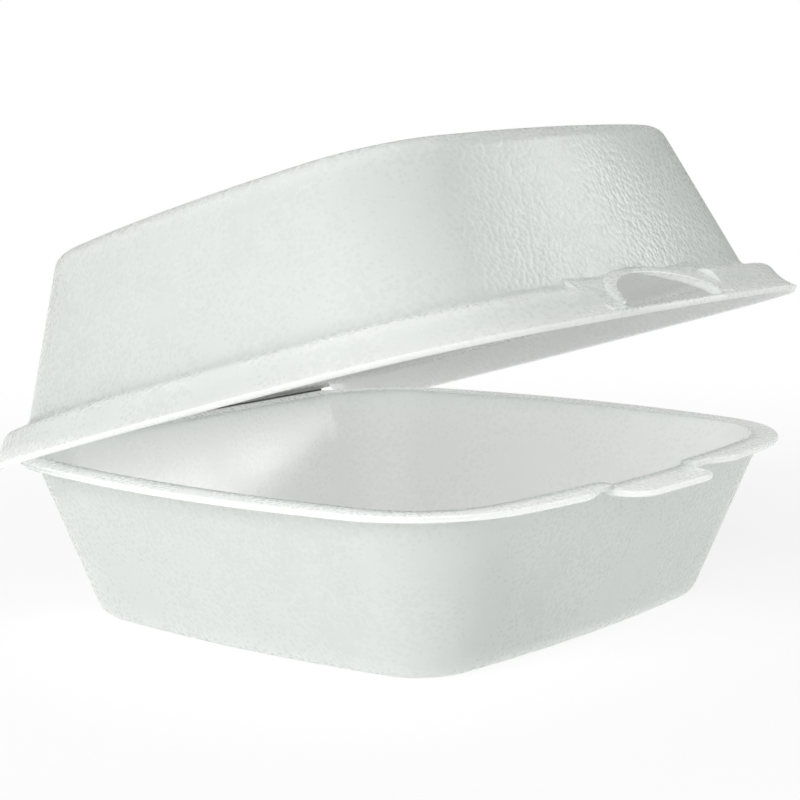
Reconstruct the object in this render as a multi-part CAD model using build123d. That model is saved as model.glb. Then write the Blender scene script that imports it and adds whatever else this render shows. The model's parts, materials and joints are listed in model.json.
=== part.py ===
from build123d import *
from math import acos, cos, degrees, hypot, radians, sin, sqrt
import os

# Hinged foam food box, pressed from one sheet: a tapered tray and a domed lid, joined along
# a thinned crease at the back. A flat tongue on the tray's front meets a window in the lid's rim.
# X runs along the hinge, Y points to the hinge at the back, Z is up.
# The origin is the middle of the tray's underside. The lid stands part open, as it springs back.

# Sheet, pressed thinner along its cut edges
sheet = 2.0
lip_sheet = 1.2
lip_break = 0.25
overrun = 5.0

# Tray, half sizes from the middle of its mouth; the foot stands a little nearer the hinge
tray_height = 34.8
mouth_half_width = 64.9
mouth_half_depth = 60.8
mouth_corner = 22.0
mouth_bow = 3.0
mouth_bevel = 1.1
foot_half_width = 50.8
foot_half_depth = 48.5
foot_corner = 14.0
foot_bow = 2.0
foot_setback = 1.7
foot_round = 5.0
brim_clearance = 0.45

# Lid, half sizes of its wall where it meets the rim, and of its top, which leans to the front
lid_height = 35.5
skirt_half_width = 65.6
skirt_half_depth = 61.5
skirt_corner = 25.3
skirt_bow = 3.1
crown_half_width = 56.3
crown_half_depth = 52.6
crown_corner = 24.0
crown_bow = 2.4
crown_advance = 1.3
crown_round = 4.4

# Section of the lid's rim, from the wall outwards
crease_round = 2.1
ledge_width = 2.2
ledge_slope = 8.0
shoulder_round = 3.2
shoulder_angle = 65.0
flare_round = 10.0
lip_angle = 30.0

# Hinge crease
hinge_gap = 0.2
web_half_length = 46.0
web_half_width = 1.6
web_sheet = 0.8
web_clearance = 0.1
open_angle = 15.8

# Tongue on the tray, in a break where the brim tapers away to the wall
tongue_half_width = 14.4
tongue_clearance = 0.6
tongue_drop = 1.15
tongue_corner = 6.0
tongue_break = 4.2
break_flare = 9.5
break_land = 0.8
break_round = 6.0

# Window in the lid's rim, with a bead round its arch in a shallow pocket
window_clearance = 0.9
window_rise = 8.6
window_sill_drop = 3.7
window_bead = 1.3
pocket_half_width = 20.0
pocket_depth = 0.7


def outline(half_width, half_depth, corner, bow, z, spread=0):
    # Closed outline with a straight back, bowed sides and front, and round corners, all tangent.
    # It can be spread evenly outwards, or inwards where the spread is negative.
    side_run = half_depth - corner
    front_run = half_width - corner
    side_radius = (side_run**2 + bow**2) / (2 * bow)
    front_radius = (front_run**2 + bow**2) / (2 * bow)
    side_middle = half_width - side_radius
    front_middle = front_radius - half_depth

    # Middles of the two kinds of corner, beside the straight back and beside the bowed front
    back_y = half_depth - corner
    back_x = side_middle + sqrt((side_radius - corner) ** 2 - back_y**2)
    front_x, front_y = crossing(
        (side_middle, 0), side_radius - corner, (0, front_middle), front_radius - corner
    )
    half_width += spread
    half_depth += spread
    corner += spread
    side_radius += spread
    front_radius += spread

    # Corner beside the straight back
    back_reach = hypot(back_x - side_middle, back_y)
    side_back = (
        side_middle + (back_x - side_middle) * side_radius / back_reach,
        back_y * side_radius / back_reach,
    )
    back_end = (back_x, half_depth)
    back_mid = mid_of_corner((back_x, back_y), corner, side_back, back_end)

    # Corner between the bowed side and the bowed front
    side_reach = hypot(front_x - side_middle, front_y)
    side_front = (
        side_middle + (front_x - side_middle) * side_radius / side_reach,
        front_y * side_radius / side_reach,
    )
    front_reach = hypot(front_x, front_y - front_middle)
    front_end = (
        front_x * front_radius / front_reach,
        front_middle + (front_y - front_middle) * front_radius / front_reach,
    )
    front_mid = mid_of_corner((front_x, front_y), corner, side_front, front_end)

    def left(point):
        return (-point[0], point[1])

    edges = [
        ThreePointArc(side_front, (half_width, 0), side_back),
        ThreePointArc(side_back, back_mid, back_end),
        Line(back_end, left(back_end)),
        ThreePointArc(left(back_end), left(back_mid), left(side_back)),
        ThreePointArc(left(side_back), (-half_width, 0), left(side_front)),
        ThreePointArc(left(side_front), left(front_mid), left(front_end)),
        ThreePointArc(left(front_end), (0, -half_depth), front_end),
        ThreePointArc(front_end, front_mid, side_front),
    ]
    return Pos(0, 0, z) * Wire(edges)


def mid_of_corner(centre, corner, first, last):
    # Middle of the arc of a corner, on the line that halves the angle at its centre
    along = (first[0] + last[0] - 2 * centre[0], first[1] + last[1] - 2 * centre[1])
    reach = hypot(*along)
    return (centre[0] + along[0] * corner / reach, centre[1] + along[1] * corner / reach)


def crossing(first, first_radius, second, second_radius):
    # Where two circles cross, on the side of the box's front right corner
    step = (second[0] - first[0], second[1] - first[1])
    apart = hypot(*step)
    along = (apart**2 + first_radius**2 - second_radius**2) / (2 * apart)
    across = sqrt(first_radius**2 - along**2)
    x = first[0] + (step[0] * along + step[1] * across) / apart
    y = first[1] + (step[1] * along - step[0] * across) / apart
    other_x = first[0] + (step[0] * along - step[1] * across) / apart
    other_y = first[1] + (step[1] * along + step[0] * across) / apart
    return (x, y) if x - y > other_x - other_y else (other_x, other_y)


def wall_outline(low, high, height, z, inset):
    # Outline of a tapered wall at any level, stepped in by the wall where it is the inside
    share = z / height
    sizes = [first + (last - first) * share for first, last in zip(low, high)]
    half_width, half_depth, corner, bow, along = sizes
    return Pos(0, along, 0) * outline(half_width, half_depth, corner, bow, z, -inset)


# Levels and reaches of the lid's rim, closed over the tray, from its wall outwards
crown_lean = (skirt_half_width - crown_half_width) / lid_height
lid_wall = sheet * sqrt(1 + crown_lean**2)
wall_slope = degrees(acos(crown_lean / sqrt(1 + crown_lean**2)))
ledge_level = tray_height + hinge_gap + sheet * cos(radians(ledge_slope))
ledge_drop = ledge_width * sin(radians(ledge_slope))
crease_drop = crease_round * (cos(radians(ledge_slope)) - cos(radians(wall_slope)))
skirt_level = ledge_level + ledge_drop + crease_drop
crown_level = tray_height + lid_height
skirt = (skirt_half_width, skirt_half_depth, skirt_corner, skirt_bow)
dome_foot = (*skirt, 0)
crown = (crown_half_width, crown_half_depth, crown_corner, crown_bow, -crown_advance)

crease_reach = crease_round * (sin(radians(wall_slope)) - sin(radians(ledge_slope)))
ledge_reach = crease_reach + ledge_width * cos(radians(ledge_slope))
shoulder_inside = shoulder_round - sheet
shoulder_middle = ledge_reach - shoulder_round * sin(radians(ledge_slope))
shoulder_centre = ledge_level - shoulder_round * cos(radians(ledge_slope))
flare_start = shoulder_middle + shoulder_inside * sin(radians(shoulder_angle))
flare_level = shoulder_centre + shoulder_inside * cos(radians(shoulder_angle))
flare_lean = (sin(radians(shoulder_angle)), cos(radians(shoulder_angle)))
lip_lean = (sin(radians(lip_angle)), cos(radians(lip_angle)))
lip_reach = flare_start + (flare_round + sheet) * flare_lean[0] - (flare_round + lip_sheet) * lip_lean[0]
lip_level = flare_level + (flare_round + sheet) * flare_lean[1] - (flare_round + lip_sheet) * lip_lean[1]

# Inside of the flare, an arc tangent to the shoulder that thins the sheet to its lip
flare_run = (lip_reach - flare_start, lip_level - flare_level)
flare_turn = flare_run[0] * flare_lean[0] + flare_run[1] * flare_lean[1]
flare_inside = hypot(*flare_run) ** 2 / (2 * flare_turn)
flare_middle = flare_start + flare_inside * flare_lean[0]
flare_centre = flare_level + flare_inside * flare_lean[1]


def flare_reach(level):
    # How far the inside of the flare stands out from the lid's wall at a level
    return flare_middle - sqrt(flare_inside**2 - (flare_centre - level) ** 2)


# The tray's brim nests inside the shoulder, and its back edge is the hinge line
nest_angle = acos(cos(radians(ledge_slope)) - hinge_gap / shoulder_inside)
brim_reach = shoulder_middle + shoulder_inside * sin(nest_angle) - brim_clearance
hinge_line = skirt_half_depth + brim_reach
window_sill = tray_height - window_sill_drop
tongue_tip = -(skirt_half_depth + flare_reach(window_sill) - tongue_clearance)

# Tray walls, lofted from the foot to the mouth
foot = (foot_half_width, foot_half_depth, foot_corner, foot_bow, foot_setback)
mouth = (mouth_half_width, mouth_half_depth, mouth_corner, mouth_bow, 0)
tray_lean = (mouth_half_width - foot_half_width) / tray_height
tray_wall = sheet * sqrt(1 + tray_lean**2)

tray_body = loft(
    [
        Face(wall_outline(foot, mouth, tray_height, 0, 0)),
        Face(wall_outline(foot, mouth, tray_height, tray_height, 0)),
    ],
    ruled=True,
)
tray_body = fillet(tray_body.faces().sort_by(Axis.Z)[0].edges(), foot_round)

tray_inside = loft(
    [
        Face(wall_outline(foot, mouth, tray_height, sheet, tray_wall)),
        Face(wall_outline(foot, mouth, tray_height, tray_height, tray_wall)),
    ],
    ruled=True,
)
tray_inside = fillet(tray_inside.faces().sort_by(Axis.Z)[0].edges(), foot_round - sheet)
bevel_level = tray_height - mouth_bevel
mouth_inside = loft(
    [
        Face(wall_outline(foot, mouth, tray_height, bevel_level, tray_wall)),
        Face(wall_outline(foot, mouth, tray_height, tray_height, tray_wall - mouth_bevel)),
    ],
    ruled=True,
)
tray_inside = tray_inside + mouth_inside

# Flat brim round the mouth, ending short of the hinge line where the sheet is thinned
brim_back = hinge_line - web_half_width
half_reach = skirt_half_width + brim_reach
brim_level = tray_height - lip_sheet
brim_wire = outline(*skirt, brim_level, brim_reach)
brim = extrude(Face(brim_wire), lip_sheet, dir=(0, 0, 1))
behind = Pos(0, brim_back, tray_height) * Box(
    2 * (half_reach + flare_round),
    2 * hinge_line,
    2 * tray_height,
    align=(Align.CENTER, Align.MIN, Align.CENTER),
)
brim = brim - behind

# Break in the front of the brim, wider at the lip than at the wall
break_wall = tongue_half_width + tongue_break
break_front = -(hinge_line + overrun)
break_back = -(mouth_half_depth + break_land)
break_slope = break_flare / (hinge_line + break_back)
break_far = break_wall + break_slope * (break_back - break_front)
break_plan = make_face(
    Polyline(
        (-break_far, break_front),
        (-break_wall, break_back),
        (break_wall, break_back),
        (break_far, break_front),
        close=True,
    )
)
break_corners = break_plan.vertices().group_by(Axis.Y)[-1]
break_plan = fillet(break_corners, break_round)
break_cut = extrude(Pos(0, 0, brim_level - overrun) * break_plan, sheet + 2 * overrun, dir=(0, 0, 1))
brim = brim - break_cut
brim_ends = brim.edges().filter_by(Axis.Z).group_by(Axis.Y)[0]
brim = fillet(brim_ends, break_round)
brim = chamfer(brim.faces().sort_by(Axis.Z)[-1].edges().sort_by(Axis.Y)[:-1], lip_break)
brim = chamfer(brim.faces().sort_by(Axis.Z)[0].edges().sort_by(Axis.Y)[:-1], lip_break)

tray = tray_body + brim
tray = tray - tray_inside

# Tongue, a little below the brim, with the wall dipped to its level
tongue_root = -(mouth_half_depth - tray_wall)
dip = Pos(0, tongue_root, tray_height - tongue_drop) * Box(
    2 * tongue_half_width,
    2 * overrun,
    overrun,
    align=(Align.CENTER, Align.CENTER, Align.MIN),
)
tongue_plan = make_face(
    Polyline(
        (-tongue_half_width, tongue_root),
        (-tongue_half_width, tongue_tip),
        (tongue_half_width, tongue_tip),
        (tongue_half_width, tongue_root),
        close=True,
    )
)
tongue_plan = fillet(tongue_plan.vertices().group_by(Axis.Y)[0], tongue_corner)
tongue_level = tray_height - tongue_drop - lip_sheet
tongue = extrude(Pos(0, 0, tongue_level) * tongue_plan, lip_sheet, dir=(0, 0, 1))
tongue_edges = tongue.faces().sort_by(Axis.Z)[-1].edges() + tongue.faces().sort_by(Axis.Z)[0].edges()
tongue = chamfer(tongue_edges, lip_break)
tray = tray - dip + (tongue - tray_inside)

# Thinned half of the hinge crease, on the tray
web_end = hinge_line - web_clearance
tray_web = Pos(0, web_end, tray_height) * Box(
    2 * web_half_length,
    2 * web_half_width,
    web_sheet,
    align=(Align.CENTER, Align.MAX, Align.MAX),
)
tray = tray + tray_web

# Lid, worked out closed over the tray: a tapered dome, and a rim swept round its foot
dome_height = crown_level - skirt_level

dome = loft(
    [
        Face(wall_outline(dome_foot, crown, dome_height, 0, 0)),
        Face(wall_outline(dome_foot, crown, dome_height, dome_height, 0)),
    ],
    ruled=True,
)
dome = fillet(dome.faces().sort_by(Axis.Z)[-1].edges(), crown_round)
dome_inside = loft(
    [
        Face(wall_outline(dome_foot, crown, dome_height, 0, lid_wall)),
        Face(wall_outline(dome_foot, crown, dome_height, dome_height - sheet, lid_wall)),
    ],
    ruled=True,
)
dome_inside = fillet(dome_inside.faces().sort_by(Axis.Z)[-1].edges(), crown_round - sheet)
dome = Pos(0, 0, skirt_level) * (dome - dome_inside)

skirt_path = outline(*skirt, skirt_level)
start = skirt_path @ 0
heading = skirt_path % 0
section_plane = Plane(origin=start, x_dir=(heading.Y, -heading.X, 0), z_dir=-heading)


def rim_line(depth):
    # Crease, ledge and shoulder of the rim, each tangent to the next, at a depth in its sheet
    wall_start = (-lid_wall * depth / sheet, 0)
    down = (cos(radians(wall_slope)), -sin(radians(wall_slope)))
    crease = JernArc(wall_start, down, crease_round + depth, wall_slope - ledge_slope)
    ledge = Line(crease @ 1, crease @ 1 + (crease % 1) * ledge_width)
    shoulder = JernArc(ledge @ 1, ledge % 1, shoulder_round - depth, ledge_slope - shoulder_angle)
    return [crease, ledge, shoulder]


outer_line = rim_line(0)
inner_line = rim_line(sheet)
outer_end, inner_end = outer_line[-1], inner_line[-1]
outer_flare = JernArc(outer_end @ 1, outer_end % 1, flare_round, shoulder_angle - lip_angle)
lip_inside = outer_flare @ 1 - Vector(*lip_lean) * lip_sheet
inner_flare = TangentArc(inner_end @ 1, lip_inside, tangent=inner_end % 1)
rim_section = make_face(
    outer_line
    + inner_line
    + [
        outer_flare,
        inner_flare,
        Line(outer_line[0] @ 0, inner_line[0] @ 0),
        Line(outer_flare @ 1, lip_inside),
    ]
)
lid_rim = sweep(section_plane * rim_section, path=skirt_path)
lid_rim = lid_rim - behind
lid = dome + lid_rim

# Window in the front of the rim, arched above and flat below, that the tongue stands in
window_half_width = tongue_half_width + window_clearance
window_depth = flare_round + overrun


def arch(spread):
    # Prism of the window's shape from front to back, spread evenly round its arch
    curve = EllipticalCenterArc((0, 0), window_half_width + spread, window_rise + spread, 0, arc_size=180)
    plan = make_face([curve, Line(curve @ 1, curve @ 0)])
    prism = extrude(Plane.XZ * plan, window_depth, both=True)
    return Pos(0, -(skirt_half_depth + sheet), window_sill) * prism


# Pocket pressed into the shoulder and flare, which leaves a bead standing round the arch
def pocket_line(depth):
    shoulder = rim_line(depth)[-1]
    flare = JernArc(shoulder @ 1, shoulder % 1, flare_round + depth, shoulder_angle - lip_angle)
    return [shoulder, flare]


proud_line = pocket_line(-pocket_depth)
floor_line = pocket_line(pocket_depth)
pocket_section = make_face(
    proud_line
    + floor_line
    + [
        Line(proud_line[0] @ 0, floor_line[0] @ 0),
        Line(proud_line[-1] @ 1, floor_line[-1] @ 1),
    ]
)
pocket = sweep(section_plane * pocket_section, path=skirt_path)
pocket_room = Pos(0, -skirt_half_depth, window_sill) * Box(
    2 * pocket_half_width,
    2 * window_depth,
    2 * window_depth,
    align=(Align.CENTER, Align.CENTER, Align.MIN),
)
pocket = (pocket & pocket_room) - arch(window_bead)
lid = lid - pocket
lid = lid - arch(0)

# Thinned half of the hinge crease, on the lid
lid_web = Pos(0, web_end, tray_height + hinge_gap) * Box(
    2 * web_half_length,
    2 * web_half_width,
    web_sheet,
    align=(Align.CENTER, Align.MAX, Align.MIN),
)
lid = lid + lid_web

# Both stand with the middle of the tray's underside at the origin, the lid open about the crease
to_foot = Pos(0, -foot_setback, 0)
hinge_y = hinge_line - foot_setback
hinge_z = tray_height + hinge_gap / 2
hinge_axis = Axis((0, hinge_y, hinge_z), (-1, 0, 0))
tray = to_foot * tray
lid_open = (to_foot * lid).rotate(hinge_axis, open_angle)

print("hinge line", round(hinge_y, 4), "level", round(hinge_z, 4))
os.makedirs("parts", exist_ok=True)
for name, shape in (("base_tray", tray), ("lid", lid_open)):
    solids = shape.solids()
    print(name, len(solids), [round(solid.volume, 1) for solid in solids], shape.is_valid)
    export_step(solids[0], f"parts/{name}.step")
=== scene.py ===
import bpy
import json
from math import atan2, cos, pi, radians, sin
from mathutils import Matrix, Vector


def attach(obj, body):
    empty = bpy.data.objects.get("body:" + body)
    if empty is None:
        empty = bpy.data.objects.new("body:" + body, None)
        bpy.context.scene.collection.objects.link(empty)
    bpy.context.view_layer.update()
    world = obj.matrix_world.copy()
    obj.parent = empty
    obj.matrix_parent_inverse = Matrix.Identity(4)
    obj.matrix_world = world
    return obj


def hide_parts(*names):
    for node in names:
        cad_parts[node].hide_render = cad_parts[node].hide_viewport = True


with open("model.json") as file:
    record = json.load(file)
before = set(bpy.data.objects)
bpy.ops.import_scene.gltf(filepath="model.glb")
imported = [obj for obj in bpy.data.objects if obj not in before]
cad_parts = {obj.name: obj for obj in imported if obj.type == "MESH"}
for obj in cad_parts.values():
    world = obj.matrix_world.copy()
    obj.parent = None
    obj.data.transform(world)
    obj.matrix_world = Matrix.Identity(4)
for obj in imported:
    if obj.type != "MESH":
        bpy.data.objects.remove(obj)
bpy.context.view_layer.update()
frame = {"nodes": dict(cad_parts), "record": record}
print("frame loaded:", sorted(frame["nodes"]))

scene = bpy.context.scene


class Wire:
    # one output socket, so that maths on it reads as plain Python
    def __init__(self, tree, socket):
        self.tree = tree
        self.socket = socket

    def maths(self, operation, first, second=0.0):
        return addNode(self.tree, "ShaderNodeMath", {"operation": operation}, _0=first, _1=second)["Value"]

    def __add__(self, other):
        return self.maths("ADD", self, other)

    __radd__ = __add__

    def __sub__(self, other):
        return self.maths("SUBTRACT", self, other)

    def __rsub__(self, other):
        return self.maths("SUBTRACT", other, self)

    def __mul__(self, other):
        return self.maths("MULTIPLY", self, other)

    __rmul__ = __mul__

    def __truediv__(self, other):
        return self.maths("DIVIDE", self, other)

    def __rtruediv__(self, other):
        return self.maths("DIVIDE", other, self)

    def clamped(self):
        return addNode(self.tree, "ShaderNodeClamp", None, Value=self)["Result"]


def addNode(tree, kind, settings=None, **inputs):
    # settings go on first, because some of them change the sockets
    # an input _0 is a socket's number, and other names have _ for a space
    node = tree.nodes.new(kind)
    for name, value in (settings or {}).items():
        setattr(node, name, value)
    for name, value in inputs.items():
        key = int(name[1:]) if name[0] == "_" else name.replace("_", " ")
        socket = node.inputs[key]
        if isinstance(value, Wire):
            tree.links.new(value.socket, socket)
        else:
            socket.default_value = value
    return {socket.name: Wire(tree, socket) for socket in node.outputs if socket.enabled}


def newTree(owner):
    owner.use_nodes = True
    owner.node_tree.nodes.clear()
    return owner.node_tree


def mixColour(tree, share, first, second):
    return addNode(tree, "ShaderNodeMix", {"data_type": "RGBA"}, _0=share, _6=first, _7=second)["Result"]


# foam: pressed white sheet, translucent, with a fine skin of cells
foam = {
    "colour": (0.81, 0.875, 0.82, 1.0),
    "cellColour": (0.79, 0.855, 0.80, 1.0),
    "cellScale": 900.0,  # cells per metre
    "cellSpread": 1.6,
    "grainScale": 2600.0,
    "grainDetail": 2.0,
    "cloudScale": 60.0,
    "cloudDetail": 3.0,
    "toneShares": (0.2, 0.2, 0.6),  # of cells, grain and cloud in the colour
    "heightShares": (0.8, 0.2),  # of cells and grain in the bump
    "roughLow": 0.20,
    "roughHigh": 0.34,
    "bump": 0.16,
    "bumpDepth": 0.0004,
    "calm": 0.10,  # share of the pebbling that is left away from the lid's front
    "frontFrom": (0.035, 0.066),  # forward of this and above this the pebbling grows
    "frontRun": (0.02, 0.008),  # and is full after this much more
    "specular": 0.5,
    "glow": 1.0,  # share of the light that goes on into the sheet
    "glowDepth": 0.03,
    "glowRadius": (1.0, 1.0, 1.0),
}


def foamMaterial(name):
    material = bpy.data.materials.new(name)
    tree = newTree(material)
    place = addNode(tree, "ShaderNodeTexCoord")["Object"]
    cells = addNode(tree, "ShaderNodeTexVoronoi", {"feature": "F1"}, Vector=place, Scale=foam["cellScale"])
    grain = addNode(tree, "ShaderNodeTexNoise", None, Vector=place, Scale=foam["grainScale"],
                    Detail=foam["grainDetail"])["Fac"]
    cloud = addNode(tree, "ShaderNodeTexNoise", None, Vector=place, Scale=foam["cloudScale"],
                    Detail=foam["cloudDetail"])["Fac"]
    dome = cells["Distance"] * foam["cellSpread"]
    cellTone, grainTone, cloudTone = foam["toneShares"]
    tone = dome * cellTone + grain * grainTone + cloud * cloudTone
    colour = mixColour(tree, tone, foam["colour"], foam["cellColour"])
    rough = foam["roughLow"] + tone * (foam["roughHigh"] - foam["roughLow"])
    # the skin is pebbled most on the lid's front, as in the photograph
    along = addNode(tree, "ShaderNodeSeparateXYZ", None, Vector=place)
    forward = ((along["Y"] * -1.0 - foam["frontFrom"][0]) / foam["frontRun"][0]).clamped()
    upward = ((along["Z"] - foam["frontFrom"][1]) / foam["frontRun"][1]).clamped()
    pebbled = foam["calm"] + forward * upward * (1.0 - foam["calm"])
    cellHeight, grainHeight = foam["heightShares"]
    height = ((1.0 - dome * dome) * cellHeight + grain * grainHeight) * pebbled
    normal = addNode(tree, "ShaderNodeBump", None, Strength=foam["bump"], Distance=foam["bumpDepth"],
                     Height=height)["Normal"]
    shader = addNode(tree, "ShaderNodeBsdfPrincipled", None, Base_Color=colour, Roughness=rough,
                     Normal=normal, Specular_IOR_Level=foam["specular"], Subsurface_Weight=foam["glow"],
                     Subsurface_Scale=foam["glowDepth"], Subsurface_Radius=foam["glowRadius"])["BSDF"]
    addNode(tree, "ShaderNodeOutputMaterial", None, Surface=shader)
    return material


foamSkin = foamMaterial("foamSkin")
for name in ("base_tray", "lid"):
    node = frame["nodes"][name]
    for index in range(len(node.material_slots)):
        node.material_slots[index].material = foamSkin
print("foam on", [(name, len(frame["nodes"][name].material_slots)) for name in ("base_tray", "lid")])


# the lid as it stands is the closed lid, turned about the hinge line
hinge = Vector(frame["record"]["behaviour"]["joints"][0]["pos_m"])
openAngle = radians(-15.8)
openTurn = Matrix.Rotation(openAngle, 3, "X")


# window: the lid again, with the flat panel and the bead that stand round its window
# places are (y, z) of the closed lid
window = {
    "top": (-0.0629, 0.03883),  # the panel leaves the foot of the wall
    "foot": (-0.0719, 0.03173),  # and runs out on the flare
    "halfWidth": 0.0203,
    "sheet": 0.0014,
    "cutAway": 0.006,  # how much is cleared in front of the panel
    "overlap": 0.0008,  # how far the panel runs on into the rim
    "sill": 0.0311,
    "arch": (0.0158, 0.0074),  # half width and rise
    "archDepth": 0.04,  # length of the tool that cuts it
    "bead": 0.0014,
    "beadRise": 0.0006,
    "sides": 96,
    "mergeGap": 0.000002,
    "smoothAngle": 32.0,
}


def opened(y, z):
    return hinge + openTurn @ (Vector((0.0, y, z)) - hinge)


def activate(piece):
    bpy.ops.object.select_all(action="DESELECT")
    piece.select_set(True)
    bpy.context.view_layer.objects.active = piece


def panelBox(low, high, halfWidth, start, end):
    # box on the panel's plane, between two heights over it, from start to end along its slope
    top, foot = Vector(window["top"]), Vector(window["foot"])
    down = (foot - top).normalized()
    out = Vector((down.y, -down.x))
    run = (foot - top).length
    middle = top + down * (start + run + end) / 2 + out * (low + high) / 2
    turn = atan2(-down.y, -down.x) + openAngle
    bpy.ops.object.select_all(action="DESELECT")
    bpy.ops.mesh.primitive_cube_add(size=1.0, location=opened(middle.x, middle.y), rotation=(turn, 0.0, 0.0),
                                    scale=(2 * halfWidth, run + end - start, high - low))
    box = bpy.context.active_object
    bpy.ops.object.transform_apply(location=True, rotation=True, scale=True)
    return box


def archPrism(spread):
    # the window's outline from front to back, round above and flat at the sill
    halfWidth, rise = window["arch"][0] + spread, window["arch"][1] + spread
    sill = opened(window["top"][0], window["sill"])
    bpy.ops.object.select_all(action="DESELECT")
    bpy.ops.mesh.primitive_cylinder_add(vertices=window["sides"], radius=1.0, depth=1.0, location=sill,
                                        rotation=(pi / 2 + openAngle, 0.0, 0.0),
                                        scale=(halfWidth, rise, window["archDepth"]))
    prism = bpy.context.active_object
    bpy.ops.object.transform_apply(location=True, rotation=True, scale=True)
    bpy.ops.object.mode_set(mode="EDIT")
    bpy.ops.mesh.select_all(action="SELECT")
    bpy.ops.mesh.bisect(plane_co=sill, plane_no=openTurn @ Vector((0.0, 0.0, 1.0)), use_fill=True,
                        clear_inner=True)
    bpy.ops.object.mode_set(mode="OBJECT")
    return prism


def combine(piece, tool, operation):
    activate(piece)
    step = piece.modifiers.new(operation, "BOOLEAN")
    step.operation = operation
    step.solver = "EXACT"
    step.object = tool
    bpy.ops.object.modifier_apply(modifier=step.name)
    bpy.data.objects.remove(tool)


def addLidShell():
    piece = bpy.data.objects.new("lidShell", frame["nodes"]["lid"].data.copy())
    scene.collection.objects.link(piece)
    activate(piece)
    bpy.ops.object.mode_set(mode="EDIT")
    bpy.ops.mesh.select_all(action="SELECT")
    bpy.ops.mesh.customdata_custom_splitnormals_clear()
    bpy.ops.mesh.remove_doubles(threshold=window["mergeGap"])
    bpy.ops.mesh.normals_make_consistent(inside=False)
    bpy.ops.object.mode_set(mode="OBJECT")
    wide, over = window["halfWidth"], window["overlap"]
    combine(piece, panelBox(0.0, window["cutAway"], wide, 0.0, 0.0), "DIFFERENCE")
    combine(piece, panelBox(-window["sheet"], 0.0, wide + over, -over, 0.0), "UNION")
    bead = panelBox(-over, window["beadRise"], wide, -over, -over)
    combine(bead, archPrism(window["bead"]), "INTERSECT")
    combine(piece, bead, "UNION")
    combine(piece, archPrism(0.0), "DIFFERENCE")
    activate(piece)
    bpy.ops.object.shade_smooth_by_angle(angle=radians(window["smoothAngle"]))
    piece.data.materials.clear()
    piece.data.materials.append(foamSkin)
    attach(piece, "lid")
    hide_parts("lid")
    print("lid shell faces", len(piece.data.polygons))


addLidShell()
print("window panel let in")


# crease: a thin roll of foam along the hinge line, which joins the two halves
crease = {
    "radius": 0.0008,
    "halfLength": 0.0458,
    "sides": 24,
    "endBreak": 0.0003,
    "breakSteps": 2,
    "ringShare": 0.01,  # an edge lies in an end ring if it runs along by less than this much of the radius
    "mergeGap": 0.00001,
    "smoothAngle": 40.0,
}


def addCrease():
    bpy.ops.object.select_all(action="DESELECT")
    bpy.ops.mesh.primitive_cylinder_add(vertices=crease["sides"], radius=crease["radius"],
                                        depth=2 * crease["halfLength"], location=hinge,
                                        rotation=(0.0, radians(90.0), 0.0))
    piece = bpy.context.active_object
    piece.name = "hingeCrease"
    bpy.ops.object.transform_apply(location=True, rotation=True, scale=True)
    bpy.ops.object.mode_set(mode="EDIT")
    bpy.ops.mesh.select_all(action="DESELECT")
    bpy.ops.object.mode_set(mode="OBJECT")
    for edge in piece.data.edges:
        ends = [piece.data.vertices[index].co.x for index in edge.vertices]
        edge.select = abs(ends[0] - ends[1]) < crease["radius"] * crease["ringShare"]
    bpy.ops.object.mode_set(mode="EDIT")
    bpy.ops.mesh.select_mode(type="EDGE")
    bpy.ops.mesh.bevel(offset=crease["endBreak"], segments=crease["breakSteps"])
    bpy.ops.mesh.select_all(action="SELECT")
    bpy.ops.mesh.remove_doubles(threshold=crease["mergeGap"])
    bpy.ops.mesh.normals_make_consistent(inside=False)
    bpy.ops.object.mode_set(mode="OBJECT")
    bpy.ops.object.shade_smooth_by_angle(angle=radians(crease["smoothAngle"]))
    piece.data.materials.append(foamSkin)
    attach(piece, "tray")


addCrease()
print("hinge crease rolled")


# camera, at the photograph's angle
view = {
    "target": (-0.063862, -0.052595, 0.055903),
    "distance": 0.385141,
    "azimuth": -50.398,
    "elevation": 8.561,
    "roll": -0.784,
    "lens": 100.846,
    "sensor": 36.0,
    "clipStart": 0.01,
}


def addCamera():
    turn, tilt, roll = radians(view["azimuth"]), radians(view["elevation"]), radians(view["roll"])
    back = Vector((sin(turn) * cos(tilt), -cos(turn) * cos(tilt), sin(tilt)))
    right = Vector((cos(turn), sin(turn), 0.0))
    up = back.cross(right)
    side = right * cos(roll) + up * sin(roll)
    top = up * cos(roll) - right * sin(roll)
    data = bpy.data.cameras.new("camera")
    data.sensor_width = view["sensor"]
    data.lens = view["lens"]
    data.clip_start = view["clipStart"]
    camera = bpy.data.objects.new("camera", data)
    place = Matrix((side, top, back)).transposed().to_4x4()
    place.translation = Vector(view["target"]) + back * view["distance"]
    camera.matrix_world = place
    scene.collection.objects.link(camera)
    scene.camera = camera


addCamera()
print("camera placed")


# studio: floor, lamps and a white world
studio = {
    "floorSize": 12.0,
    "floorColour": (0.9, 0.9, 0.9, 1.0),
    "floorGlow": 0.80,  # near the box, where its shadow falls
    "glowStart": 0.10,
    "glowRun": 0.25,
    "bounce": 0.75,  # how far the floor glows by itself on the box, as a lit table does
    "worldColour": (1.0, 1.0, 1.0, 1.0),
    "worldLight": 0.41,
    "aim": (0.0, 0.0, 0.05),
    "lamps": (
        # name, place, width, height, watts, lights by spread, lights by gloss
        ("leftBox", (-1.4, -0.25, 0.50), 1.6, 1.0, 32.0, True, False),
        ("frontFill", (-0.25, -1.4, 0.80), 1.2, 0.6, 3.0, True, False),
        ("rightCard", (1.0, -0.60, 0.70), 0.4, 0.4, 2.5, False, True),
        ("lowCard", (0.95, -0.90, 0.30), 0.4, 0.3, 5.0, False, True),
    ),
}


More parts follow.
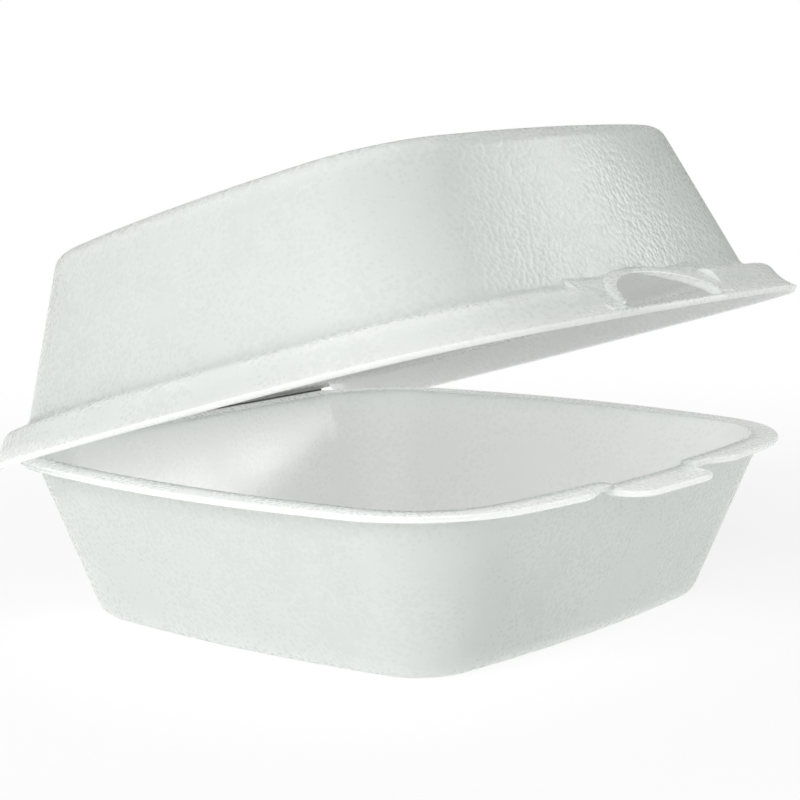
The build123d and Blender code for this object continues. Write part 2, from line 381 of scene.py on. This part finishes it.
def floorMaterial():
    material = bpy.data.materials.new("studioFloor")
    tree = newTree(material)
    place = addNode(tree, "ShaderNodeTexCoord")["Object"]
    away = addNode(tree, "ShaderNodeVectorMath", {"operation": "LENGTH"}, _0=place)["Value"]
    far = ((away - studio["glowStart"]) / studio["glowRun"]).clamped()
    glowing = studio["floorGlow"] + far * (1.0 - studio["floorGlow"])
    rays = addNode(tree, "ShaderNodeLightPath")
    seen = (rays["Is Camera Ray"] + rays["Is Glossy Ray"] + rays["Is Transmission Ray"]).clamped()
    share = studio["bounce"] + seen * (glowing - studio["bounce"])
    matte = addNode(tree, "ShaderNodeBsdfDiffuse", None, Color=studio["floorColour"])["BSDF"]
    glow = addNode(tree, "ShaderNodeEmission", None, Strength=1.0)["Emission"]
    mixed = addNode(tree, "ShaderNodeMixShader", None, _0=share, _1=matte, _2=glow)["Shader"]
    addNode(tree, "ShaderNodeOutputMaterial", None, Surface=mixed)
    return material


def addStudio():
    bpy.ops.object.select_all(action="DESELECT")
    bpy.ops.mesh.primitive_plane_add(size=studio["floorSize"], location=(0.0, 0.0, 0.0))
    floor = bpy.context.active_object
    floor.name = "floor"
    floor.data.materials.append(floorMaterial())
    for name, place, width, height, watts, inSpread, inGloss in studio["lamps"]:
        data = bpy.data.lights.new(name, "AREA")
        data.shape = "RECTANGLE"
        data.size = width
        data.size_y = height
        data.energy = watts
        lamp = bpy.data.objects.new(name, data)
        lamp.location = place
        lamp.rotation_euler = (Vector(studio["aim"]) - Vector(place)).to_track_quat("-Z", "Y").to_euler()
        lamp.visible_diffuse = inSpread
        lamp.visible_glossy = inGloss
        scene.collection.objects.link(lamp)
    world = bpy.data.worlds.new("studioWorld")
    scene.world = world
    tree = newTree(world)
    seen = addNode(tree, "ShaderNodeLightPath")["Is Camera Ray"]
    strength = studio["worldLight"] + seen * (1.0 - studio["worldLight"])
    back = addNode(tree, "ShaderNodeBackground", None, Color=studio["worldColour"],
                   Strength=strength)["Background"]
    addNode(tree, "ShaderNodeOutputWorld", None, Surface=back)


addStudio()
scene.view_settings.view_transform = "Standard"
print("studio ready")
